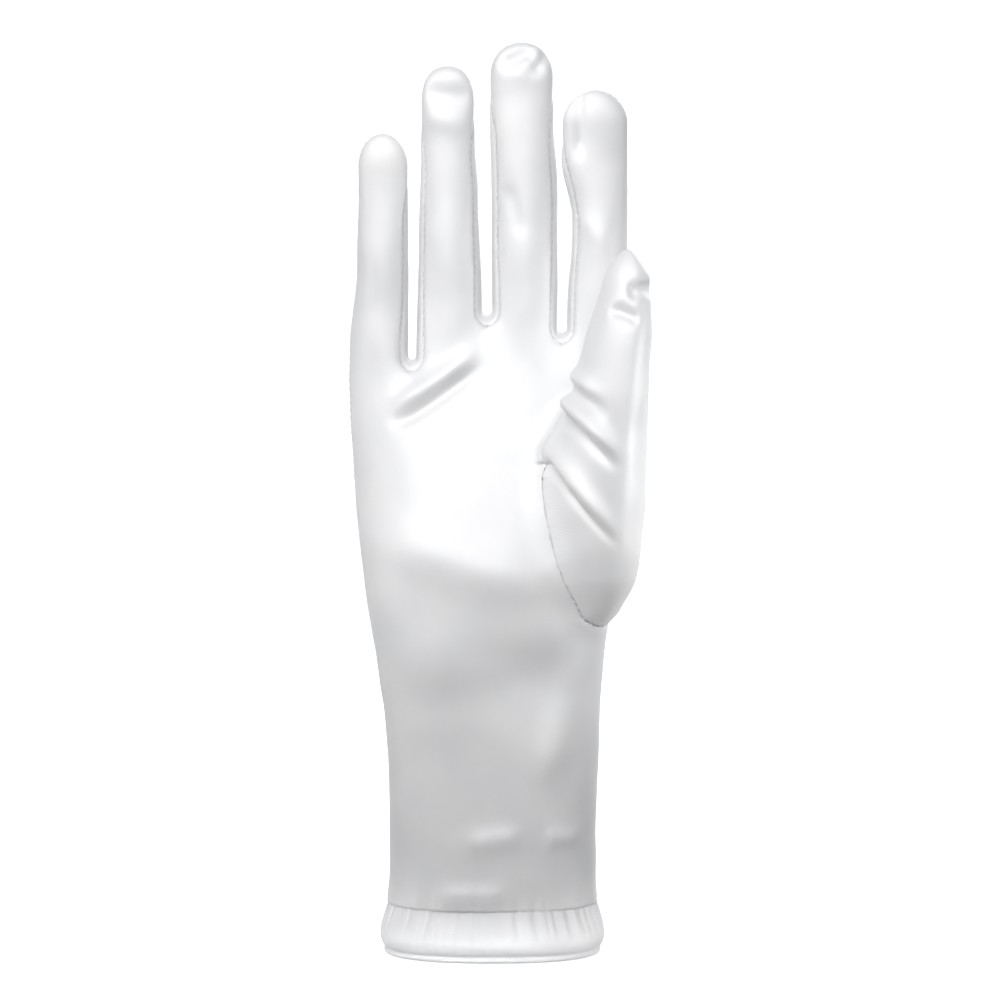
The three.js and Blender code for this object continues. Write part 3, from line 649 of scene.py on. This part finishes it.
# Stretch satin: a cool white with a soft lengthwise sheen and a fine weave.
def satin(name):
    material = bpy.data.materials.new(name)
    material.use_nodes = True
    nodes, links = material.node_tree.nodes, material.node_tree.links
    shader = nodes["Principled BSDF"]
    shader.inputs["Metallic"].default_value = 0.15
    shader.inputs["Specular IOR Level"].default_value = 0.8
    shader.inputs["Anisotropic"].default_value = 0.3
    shader.inputs["Sheen Weight"].default_value = 0.2
    shader.inputs["Sheen Roughness"].default_value = 0.4
    place = nodes.new("ShaderNodeTexCoord")
    tangent = nodes.new("ShaderNodeTangent")
    tangent.direction_type = "RADIAL"
    tangent.axis = "Z"
    links.new(tangent.outputs["Tangent"], shader.inputs["Tangent"])

    patches = nodes.new("ShaderNodeTexNoise")
    patches.inputs["Scale"].default_value = 55.0
    patches.inputs["Detail"].default_value = 3.0
    links.new(place.outputs["Object"], patches.inputs["Vector"])
    tone = nodes.new("ShaderNodeValToRGB")
    tone.color_ramp.elements[0].position = 0.3
    tone.color_ramp.elements[0].color = (0.735, 0.74, 0.755, 1)
    tone.color_ramp.elements[1].position = 0.7
    tone.color_ramp.elements[1].color = (0.79, 0.79, 0.80, 1)
    links.new(patches.outputs["Fac"], tone.inputs["Fac"])
    links.new(tone.outputs["Color"], shader.inputs["Base Color"])
    gloss = nodes.new("ShaderNodeMapRange")
    gloss.inputs["To Min"].default_value = 0.46
    gloss.inputs["To Max"].default_value = 0.56
    links.new(patches.outputs["Fac"], gloss.inputs["Value"])
    links.new(gloss.outputs["Result"], shader.inputs["Roughness"])

    weave = nodes.new("ShaderNodeTexWave")
    weave.bands_direction = "DIAGONAL"
    weave.inputs["Scale"].default_value = 900.0
    weave.inputs["Distortion"].default_value = 0.6
    weave.inputs["Detail"].default_value = 1.0
    links.new(place.outputs["Object"], weave.inputs["Vector"])
    slub = nodes.new("ShaderNodeTexNoise")
    slub.inputs["Scale"].default_value = 700.0
    slub.inputs["Detail"].default_value = 2.0
    links.new(place.outputs["Object"], slub.inputs["Vector"])
    fine = nodes.new("ShaderNodeBump")
    fine.inputs["Strength"].default_value = 0.12
    fine.inputs["Distance"].default_value = 0.0001
    links.new(weave.outputs["Fac"], fine.inputs["Height"])
    uneven = nodes.new("ShaderNodeBump")
    uneven.inputs["Strength"].default_value = 0.18
    uneven.inputs["Distance"].default_value = 0.0001
    links.new(slub.outputs["Fac"], uneven.inputs["Height"])
    links.new(fine.outputs["Normal"], uneven.inputs["Normal"])
    links.new(uneven.outputs["Normal"], shader.inputs["Normal"])
    return material


def thread():
    material = bpy.data.materials.new("stitch_thread")
    material.use_nodes = True
    nodes, links = material.node_tree.nodes, material.node_tree.links
    shader = nodes["Principled BSDF"]
    shader.inputs["Sheen Weight"].default_value = 0.2
    place = nodes.new("ShaderNodeTexCoord")
    ply = nodes.new("ShaderNodeTexNoise")
    ply.inputs["Scale"].default_value = 2500.0
    links.new(place.outputs["Object"], ply.inputs["Vector"])
    tone = nodes.new("ShaderNodeValToRGB")
    tone.color_ramp.elements[0].color = (0.62, 0.62, 0.64, 1)
    tone.color_ramp.elements[1].color = (0.78, 0.78, 0.79, 1)
    links.new(ply.outputs["Fac"], tone.inputs["Fac"])
    links.new(tone.outputs["Color"], shader.inputs["Base Color"])
    gloss = nodes.new("ShaderNodeMapRange")
    gloss.inputs["To Min"].default_value = 0.5
    gloss.inputs["To Max"].default_value = 0.65
    links.new(ply.outputs["Fac"], gloss.inputs["Value"])
    links.new(gloss.outputs["Result"], shader.inputs["Roughness"])
    return material


SATIN = satin("glove_satin")
THREAD = thread()

# The shell of the hand and fingers, from its cut pieces.
PIECES = [
    "palm_panel",
    "back_panel",
    "fourchette_little_ring",
    "fourchette_ring_middle",
    "fourchette_middle_index",
]
grids = []
for piece, side in enumerate((PALM_SIDE, BACK_SIDE)):
    flip = side == BACK_SIDE
    grids.append((piece, hand_rows(side), flip))
    grids += [(piece, finger_rows(finger, side), flip) for finger in FINGERS]
grids += [(2 + fork["index"], fourchette_rows(fork), True) for fork in FORKS]
shell, shell_faces, shell_owner, shell_numbers = weld(grids)

# Seams of the shell: edges where two pieces meet, and the cuff's edge.
seam_pairs = np.concatenate([boundary_of(shell_faces[shell_owner == p]) for p in range(len(PIECES))])
_, from_seam = nearest(shell, edge_samples(shell, seam_pairs))
knuckles = smooth((shell[:, 2] - KNUCKLES_FROM) / KNUCKLES_SET_IN)
knuckles = knuckles * smooth((KNUCKLES_TO - shell[:, 2]) / KNUCKLES_DIE_OUT)
knuckles[shell_faces[shell_owner > 1].ravel()] = 0
shell = smoothed(shell, shell_faces, knuckles * smooth(from_seam / KNUCKLES_SEAM), KNUCKLES_ROUNDS)
# The fingertips are evened out in depth alone, so that their outlines stay.
tips = sum(
    (abs(shell[:, 0] - finger["middle"]) < FINGER_WIDTH * TIP_HALF_WIDTH)
    * smooth((shell[:, 2] - finger["top"] + TIP_ZONE) / TIP_SET_IN)
    for finger in FINGERS
)
shell[:, 1] = smoothed(shell, shell_faces, tips * smooth(from_seam / TIP_SEAM), TIP_ROUNDS)[:, 1]

shell_normals = soft_normals(shell, shell_faces)
relief = (
    fold_height(PALM_FOLDS + FINGER_FOLDS, shell, shell_normals)
    + swell_height(shell, shell_normals)
    + ripples(shell, 34.0, 0.16, seed=3)
    + ripples(shell, 12.0, 0.045, seed=8)
)
# On the fingers the relief dies out towards the seams.
calm = lerp(1, smooth(from_seam / 2.5), smooth((shell[:, 2] - 150) / 15))
shell = shell + shell_normals * (relief * calm)[:, None]
# Just above the hem the cuff flares, and the elastic draws it in.
for start, side in ((0, PALM_SIDE), (1 + len(FINGERS), BACK_SIDE)):
    numbers = shell_numbers[start]
    turn = column_angles() * side % (2 * np.pi)
    low = smooth((HEM_HEIGHT + GATHER_REACH - shell[numbers, 2]) / GATHER_REACH) ** 1.5
    lift = low * (HEM_FLARE - PUCKER_DEPTH * gathers(turn)[None, :])
    shell[numbers] += shell_normals[numbers] * lift[..., None]
shell_normals = soft_normals(shell, shell_faces)

# The thumb, cut where it meets the hand, and the hole for it in the palm.
thumb, thumb_faces, _, _ = weld([(0, thumb_rows(), False)])
thumb_end = smooth((thumb[:, 2] - THUMB_TIP_FROM) / THUMB_TIP_SET_IN)
thumb = smoothed(thumb, thumb_faces, thumb_end, THUMB_TIP_ROUNDS)
thumb_normals = soft_normals(thumb, thumb_faces)
thumb = thumb + thumb_normals * (
    fold_height(THUMB_FOLDS, thumb, thumb_normals)
    + ripples(thumb, 20.0, 0.14, seed=5)
    + ripples(thumb, 9.0, 0.05, seed=6)
)[:, None]
thumb_normals = soft_normals(thumb, thumb_faces)

thumb_keep = signed_distance(thumb, shell, shell_normals)
palm_faces = triangles(shell_faces[shell_owner == 0])
palm_keep = np.full(len(shell), 99.0)
low_corner = thumb.min(axis=0) - THUMB_SEARCH
high_corner = thumb.max(axis=0) + THUMB_SEARCH
near = np.all((shell > low_corner) & (shell < high_corner), axis=1)
palm_keep[near] = signed_distance(shell[near], thumb, thumb_normals)

thumb_sheet, thumb_triangles = clipped(np.hstack([thumb, thumb_normals]), triangles(thumb_faces), thumb_keep)
palm_sheet, palm_triangles = clipped(np.hstack([shell, shell_normals]), palm_faces, palm_keep)
palm_shared = palm_sheet[:, 3:]
palm_sheet = palm_sheet[:, :3]
thumb_shared = thumb_sheet[:, 3:]
thumb_sheet = thumb_sheet[:, :3]
thumb_seam = boundary_of(thumb_triangles)
thumb_seam_samples = edge_samples(thumb_sheet, thumb_seam)

seam_samples = edge_samples(shell, seam_pairs)


def ditch(points, samples):
    _, distance = nearest(points, samples)
    above_hem = smooth((points[:, 2] - HEM_HEIGHT) / DITCH_HEM_EASE)
    depth = DITCH_DEPTH * lerp(DITCH_AT_HEM, 1, above_hem)
    return -depth * np.exp(-(distance / DITCH_WIDTH) ** 2)


def fillet(points, seam, towards, opening):
    """Moves what lies near the thumb's seam outwards, so that thumb and palm run into each other softly."""
    which, distance = nearest(points, seam)
    near = np.clip(1 - distance / THUMB_FILLET_REACH, 0, 1)
    below_top = smooth((THUMB_DITCH_TOP - seam[which, 2]) / THUMB_DITCH_EASE)
    drawn = lerp(THUMB_DITCH_HIGH, THUMB_DITCH_LOW, below_top)
    lift = THUMB_FILLET * opening[which] * near ** 2
    lift -= DITCH_DEPTH * drawn * np.exp(-(distance / DITCH_WIDTH) ** 2)
    return points + towards[which] * lift[:, None]


hand_side = shell_normals[nearest(thumb_seam_samples, shell)[0]]
thumb_side = thumb_normals[nearest(thumb_seam_samples, thumb)[0]]
outwards = hand_side + thumb_side
outwards /= np.linalg.norm(outwards, axis=1, keepdims=True)
corner = 1 - (hand_side * thumb_side).sum(axis=1)

palm_outer = palm_sheet + palm_shared * ditch(palm_sheet, seam_samples)[:, None]
palm_outer = fillet(palm_outer, thumb_seam_samples, outwards, corner)
thumb_outer = fillet(thumb_sheet, thumb_seam_samples, outwards, corner)
shell_outer = shell + shell_normals * ditch(shell, seam_samples)[:, None]

glove_pieces = {}


def add_piece(name, points, faces, shared):
    points, faces = compact(np.hstack([points, shared]), faces)
    solid, every = thickened(points[:, :3], faces, points[:, 3:])
    thing = make_object(name + "_cloth", solid, every, SATIN)
    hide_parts(name)
    glove_pieces[name] = thing


add_piece("palm_panel", palm_outer, palm_triangles, palm_shared)
for piece in range(1, len(PIECES)):
    add_piece(PIECES[piece], shell_outer, shell_faces[shell_owner == piece], shell_normals)
add_piece("thumb", thumb_outer, thumb_triangles, thumb_shared)

# The turned hem, gathered along its seam by elastic. Its profile goes once round the band: how far out, how
# high up the hem, and how much of the gathers it takes.
HEM_SIDES = 560
HEM_TOP = HEM_HEIGHT - 0.1
HEM_COLUMNS = ("out", "up", "pucker")
HEM = [dict(zip(HEM_COLUMNS, row)) for row in (
    (-0.3, 1.05, 0.9),
    (0.08, 1.03, 1.0),
    (0.17, 0.96, 1.0),
    (0.4, 0.83, 1.0),
    (0.67, 0.68, 0.75),
    (0.88, 0.54, 0.4),
    (1.0, 0.4, 0.2),
    (0.96, 0.28, 0.1),
    (0.76, 0.185, 0.05),
    (0.4, 0.13, 0.02),
    (0.42, 0.095, 0.0),
    (0.55, 0.05, 0.0),
    (0.35, 0.0, 0.0),
    (-0.3, -0.005, 0.0),
    (-0.9, 0.02, 0.0),
    (-1.0, 0.1, 0.0),
    (-1.0, 0.5, 0.0),
    (-1.0, 0.97, 0.0),
    (-0.7, 1.05, 0.0),
)]
HEM_PROFILE_STEPS = 4


def hem_mesh():
    turn = 2 * np.pi * np.arange(HEM_SIDES) / HEM_SIDES
    drawn = gathers(turn)
    front = on_hand(PALM_SIDE, np.where(turn > np.pi, 2 * np.pi - turn, 0.5), HEM_HEIGHT)
    back = on_hand(BACK_SIDE, np.where(turn > np.pi, 0.5, turn), HEM_HEIGHT)
    seat = np.where((turn > np.pi)[:, None], front, back)
    reach = np.hypot(seat[:, 0], seat[:, 1])
    count = len(HEM)
    rings = []
    for i in range(count):
        rows = [HEM[(i + k) % count] for k in (-1, 0, 1, 2)]
        for step in range(HEM_PROFILE_STEPS):
            t = step / HEM_PROFILE_STEPS
            value = {}
            for column in HEM_COLUMNS:
                a, b, c, d = (row[column] for row in rows)
                bend = a - 2.5 * b + 2 * c - d / 2 + t * (1.5 * (b - c) + (d - a) / 2)
                value[column] = b + t * ((c - a) / 2 + t * bend)
            grow = value["out"] * (HEM_BULGE if value["out"] > 0 else HEM_THICKNESS)
            ripple = -value["pucker"] * PUCKER_DEPTH * drawn
            ring = seat * ((reach + grow + ripple) / reach)[:, None]
            ring[:, 2] = value["up"] * HEM_TOP
            rings.append(ring)
    rings = np.array(rings)
    count = len(rings)
    faces = []
    for r in range(count):
        above, below = r * HEM_SIDES, (r + 1) % count * HEM_SIDES
        j = np.arange(HEM_SIDES)
        k = (j + 1) % HEM_SIDES
        faces.append(np.stack([below + j, below + k, above + k, above + j], axis=-1))
    return rings.reshape(-1, 3), np.concatenate(faces)


hem_points, hem_faces = hem_mesh()
hem = make_object("cuff_hem_cloth", hem_points, hem_faces, SATIN)
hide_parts("cuff_hem")
glove_pieces["cuff_hem"] = hem


# Stitches lie along the seams, one short thread after another.
def capsule():
    rings, sides = 5, 6
    points, faces = [], []
    for i in range(rings):
        along = -1 + 2 * i / (rings - 1)
        thick = math.sqrt(max(1 - along ** 4, 0.04))
        for j in range(sides):
            angle = 2 * math.pi * j / sides
            points.append((along * STITCH_LENGTH / 2, thick * math.cos(angle) * STITCH_RADIUS,
                           thick * math.sin(angle) * STITCH_RADIUS))
    for i in range(rings - 1):
        for j in range(sides):
            a, b = i * sides + j, i * sides + (j + 1) % sides
            faces.append((a, b, b + sides, a + sides))
    faces.append(tuple(range(sides))[::-1])
    faces.append(tuple(range((rings - 1) * sides, rings * sides)))
    return np.array(points), faces


def along_line(line, normals):
    """Places, directions and normals every stitch pitch along a line of points."""
    steps = np.linalg.norm(np.diff(line, axis=0), axis=1)
    run = np.concatenate([[0], np.cumsum(steps)])
    places = np.arange(STITCH_PITCH, run[-1] - STITCH_PITCH, STITCH_PITCH)

    def sample(values, at):
        return np.stack([np.interp(at, run, values[:, k]) for k in range(3)], axis=-1)

    ahead = sample(line, places + 0.5) - sample(line, places - 0.5)
    ahead /= np.linalg.norm(ahead, axis=1, keepdims=True)
    up = sample(normals, places)
    up -= ahead * (up * ahead).sum(axis=1, keepdims=True)
    up /= np.linalg.norm(up, axis=1, keepdims=True)
    return sample(line, places), ahead, up


def stitch_mesh(lines, lift):
    shape, shape_faces = capsule()
    points, faces = [], []
    for line, normals in lines:
        for place, ahead, up in zip(*along_line(line, normals)):
            across = np.cross(up, ahead)
            start = len(points) * len(shape)
            points.append(place + up * lift + shape @ np.array([ahead, across, up]))
            faces += [tuple(start + i for i in face) for face in shape_faces]
    return np.concatenate(points), faces


def ordered(pairs):
    """The longest closed line through boundary edges."""
    after = {int(a): int(b) for a, b in pairs}
    best = []
    left = set(after)
    while left:
        start = here = next(iter(sorted(left)))
        line = []
        while here in left:
            left.discard(here)
            line.append(here)
            here = after[here]
        if len(line) > len(best):
            best = line
    return best + best[:1]


seam_lines = []
first_fork_grid = len(grids) - len(FORKS)
for numbers in shell_numbers[first_fork_grid:]:
    for column in (0, -1):
        line = numbers[:, column]
        seam_lines.append((shell_outer[line], shell_normals[line]))
hand_numbers = shell_numbers[0]
little_numbers, index_numbers = shell_numbers[1], shell_numbers[len(FINGERS)]
little_side = np.concatenate([hand_numbers[:, 0], little_numbers[1:, 0]])
index_side = np.concatenate([hand_numbers[:, -1], index_numbers[1:, -1]])
for line in (little_side, index_side):
    seam_lines.append((shell_outer[line], shell_normals[line]))
thumb_line = ordered(thumb_seam)
thumb_path = thumb_outer[thumb_line]
thumb_up = outwards[nearest(thumb_sheet[thumb_line], thumb_seam_samples)[0]]
# Higher up the thumb's stitches sink into the cloth.
sunk = smooth((thumb_path[:, 2:] - THUMB_SINK_FROM) / THUMB_SINK_EASE)
thumb_path = thumb_path - thumb_up * THUMB_STITCH_SINK * sunk
seam_lines.append((thumb_path, thumb_up))
stitch_points, stitch_faces = stitch_mesh(seam_lines, STITCH_LIFT)
stitches = make_object("seam_stitches", stitch_points, stitch_faces, THREAD)

for thing in list(glove_pieces.values()) + [stitches]:
    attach(thing, "root")

# A pale floor just under the glove, and four far walls of the same material that keep the background white.
# They light nothing. Like the lamps and the camera, they are in metres.
STAGE_SIZE = 60
FLOOR_DROP = 0.0006
BACKDROP_AWAY = 9
BACKDROP_HEIGHT = 29
bpy.ops.mesh.primitive_plane_add(size=STAGE_SIZE, location=(0, 0, -FLOOR_DROP))
floor = bpy.context.object
floor.name = "floor"
pale = bpy.data.materials.new("floor_pale")
pale.use_nodes = True
pale_shader = pale.node_tree.nodes["Principled BSDF"]
pale_shader.inputs["Base Color"].default_value = (0.9, 0.9, 0.9, 1)
pale_shader.inputs["Roughness"].default_value = 0.9
pale_shader.inputs["Emission Color"].default_value = (1, 1, 1, 1)
pale_shader.inputs["Emission Strength"].default_value = 1.0
floor.data.materials.append(pale)
stage = [floor]
for x, y in ((0, 1), (0, -1), (1, 0), (-1, 0)):
    place = (x * BACKDROP_AWAY, y * BACKDROP_AWAY, BACKDROP_HEIGHT)
    turned = (RIGHT_ANGLE, 0, RIGHT_ANGLE * (x != 0))
    bpy.ops.mesh.primitive_plane_add(size=STAGE_SIZE, location=place, rotation=turned)
    backdrop = bpy.context.object
    backdrop.name = "backdrop"
    backdrop.data.materials.append(pale)
    backdrop.visible_shadow = False
    stage.append(backdrop)
for thing in stage:
    thing.visible_diffuse = False
    thing.visible_glossy = False

# Soft light from all round, stronger from behind the glove.
world = bpy.data.worlds.new("studio")
bpy.context.scene.world = world
world.use_nodes = True
world_nodes, world_links = world.node_tree.nodes, world.node_tree.links
sky = world_nodes["Background"]
sky.inputs["Strength"].default_value = 1.0
direction = world_nodes.new("ShaderNodeTexCoord")
apart = world_nodes.new("ShaderNodeSeparateXYZ")
world_links.new(direction.outputs["Generated"], apart.inputs["Vector"])
behind = world_nodes.new("ShaderNodeMapRange")
behind.inputs["From Min"].default_value = 0.2
behind.inputs["From Max"].default_value = 0.9
behind.inputs["To Min"].default_value = 0.36
behind.inputs["To Max"].default_value = 1.05
world_links.new(apart.outputs["Y"], behind.inputs["Value"])
world_links.new(behind.outputs["Result"], sky.inputs["Color"])


def area_light(name, place, target, size, power, spread=180):
    light = bpy.data.lights.new(name, "AREA")
    light.shape = "RECTANGLE"
    light.size, light.size_y = size
    light.energy = power
    light.spread = math.radians(spread)
    thing = bpy.data.objects.new(name, light)
    thing.location = place
    thing.rotation_euler = (Vector(target) - Vector(place)).to_track_quat("-Z", "Y").to_euler()
    thing.visible_camera = False
    bpy.context.scene.collection.objects.link(thing)


# Each lamp's place, the point it faces, its width and height, its watts and its spread in degrees.
area_light("key", (-0.04, -0.28, 0.34), (0.0, 0.0, 0.185), (0.32, 0.3), 0.235, 76)
area_light("side", (-0.25, -0.34, 0.4), (0.0, 0.0, 0.16), (0.3, 0.3), 0.4)
area_light("low", (0.0, -0.075, 0.003), (0.0, 0.0, 0.003), (0.16, 0.008), 0.0034, 26)
area_light("low_left", (-0.09, -0.035, 0.003), (-0.03, -0.004, 0.005), (0.04, 0.01), 0.0008, 40)
area_light("low_right", (0.09, -0.035, 0.003), (0.03, -0.004, 0.005), (0.04, 0.01), 0.0008, 40)
area_light("left", (-0.3, -0.14, 0.115), (0.0, -0.01, 0.115), (0.05, 0.1), 0.0055, 30)
area_light("right", (0.2, -0.05, 0.135), (0.045, -0.01, 0.125), (0.03, 0.08), 0.015, 46)
area_light("behind", (0.4, 0.6, 0.5), (0.0, 0.0, 0.13), (0.5, 0.5), 3.0)

# The camera stands above the glove's middle and looks slightly down at it.
CAMERA_DISTANCE = 0.78
CAMERA_HEIGHT = 0.165
FIELD_WIDTH = 0.27
IMAGE_MIDDLE = (0.0016, 0.1225)
SENSOR_WIDTH = 36.0
CAMERA_TILT = math.atan((CAMERA_HEIGHT - IMAGE_MIDDLE[1]) / CAMERA_DISTANCE)
camera_data = bpy.data.cameras.new("camera")
camera_data.sensor_width = SENSOR_WIDTH
camera_data.lens = SENSOR_WIDTH * CAMERA_DISTANCE / FIELD_WIDTH
camera_data.clip_start = 0.01
camera = bpy.data.objects.new("camera", camera_data)
camera.location = (IMAGE_MIDDLE[0], -CAMERA_DISTANCE, CAMERA_HEIGHT)
camera.rotation_euler = (RIGHT_ANGLE - CAMERA_TILT, 0, 0)
bpy.context.scene.collection.objects.link(camera)
bpy.context.scene.camera = camera
bpy.context.scene.view_settings.view_transform = "Standard"
